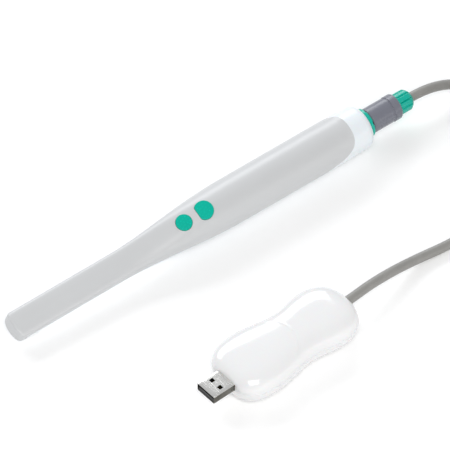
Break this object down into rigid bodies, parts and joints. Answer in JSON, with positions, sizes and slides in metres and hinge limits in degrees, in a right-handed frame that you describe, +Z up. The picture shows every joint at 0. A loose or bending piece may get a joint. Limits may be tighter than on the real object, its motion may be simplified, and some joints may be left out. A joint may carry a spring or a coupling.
{
  "type": "intraoral camera",
  "caption": "Slim camera wand with a swept neck, teal buttons on its grey casing, a push-pull cable plug, and a cable to a waisted white housing with a USB-A plug.",
  "frame": {"origin": "on the resting surface, below the middle of the wand and the housing together", "axes": "+X along the wand from its tip to its cable end, +Y from the housing to the wand, +Z up"},
  "size_m": [0.3172, 0.1147, 0.0239],
  "materials": {
    "grey_casing": "satin moulded plastic",
    "white_casing": "smooth moulded plastic",
    "housing_white": "glossy moulded plastic",
    "teal_plastic": "moulded plastic",
    "teal_button": "soft moulded, fine dimples",
    "grey_plastic": "satin moulded plastic",
    "black_plastic": "moulded plastic",
    "clear_window": "clear",
    "filter_glass": "tinted",
    "green_board": "solder mask",
    "dark_chip": "moulded",
    "lamp_white": "moulded",
    "amber_ribbon": "film",
    "steel": "plain",
    "bright_metal": "bright nickel plate",
    "gold_contact": "gold plate",
    "seal_rubber": "plain",
    "wire_insulation": "plain",
    "grey_cable": "smooth cable sheath"
  },
  "bodies": {
    "handpiece": {"upper_shell": "grey_casing", "lower_shell": "white_casing", "window_bezel": "black_plastic", "head_window": "clear_window", "led_board": "green_board", "led_lamps": "lamp_white", "lens_barrel": "black_plastic", "lens_front": "clear_window", "lens_rear": "clear_window", "ir_filter": "filter_glass", "image_sensor": "dark_chip", "sensor_board": "green_board", "flex_ribbon": "amber_ribbon", "main_board": "green_board", "flex_connector": "black_plastic", "link_header": "black_plastic", "board_chips": "dark_chip", "board_screws": "steel", "button_board": "green_board", "mode_switch": "black_plastic", "capture_switch": "black_plastic", "receptacle_body": "bright_metal", "receptacle_insulator": "black_plastic", "receptacle_contacts": "gold_contact", "receptacle_o_ring": "seal_rubber", "receptacle_nut": "teal_plastic", "receptacle_wires": "wire_insulation", "wire_header": "black_plastic"},
    "capture_button": {"capture_button": "teal_button", "capture_plunger": "black_plastic"},
    "mode_button": {"mode_button": "teal_button", "mode_plunger": "black_plastic"},
    "cable_assembly": {"plug_shell": "bright_metal", "plug_insulator": "black_plastic", "plug_sockets": "gold_contact", "collet": "black_plastic", "back_nut": "teal_plastic", "cable_wand_side": "grey_cable", "cable_coil": "grey_cable", "cable_pod_side": "grey_cable", "pod_top_cover": "housing_white", "pod_base": "housing_white", "pod_board": "green_board", "pod_chips": "dark_chip", "pod_screws": "steel", "usb_shell": "bright_metal", "usb_tongue": "black_plastic", "usb_contacts": "gold_contact", "pod_cable_clamp": "black_plastic"},
    "release_sleeve": {"release_sleeve": "grey_plastic"}
  },
  "joints": [
    {"name": "capture_press", "type": "slide", "parent": "handpiece", "child": "capture_button", "axis": [0.1547, 0.3701, -0.916], "range_m": [0, 0.0005], "stiffness_N_per_m": 400, "springref_m": -0.002},
    {"name": "mode_press", "type": "slide", "parent": "handpiece", "child": "mode_button", "axis": [0.1547, 0.3701, -0.916], "range_m": [0, 0.0005], "stiffness_N_per_m": 400, "springref_m": -0.002},
    {"name": "plug_pull", "type": "slide", "parent": "handpiece", "child": "cable_assembly", "axis": [1, 0, 0], "range_m": [0, 0.014]},
    {"name": "sleeve_release", "type": "slide", "parent": "cable_assembly", "child": "release_sleeve", "axis": [1, 0, 0], "range_m": [0, 0.0015], "stiffness_N_per_m": 500, "springref_m": -0.002}
  ]
}
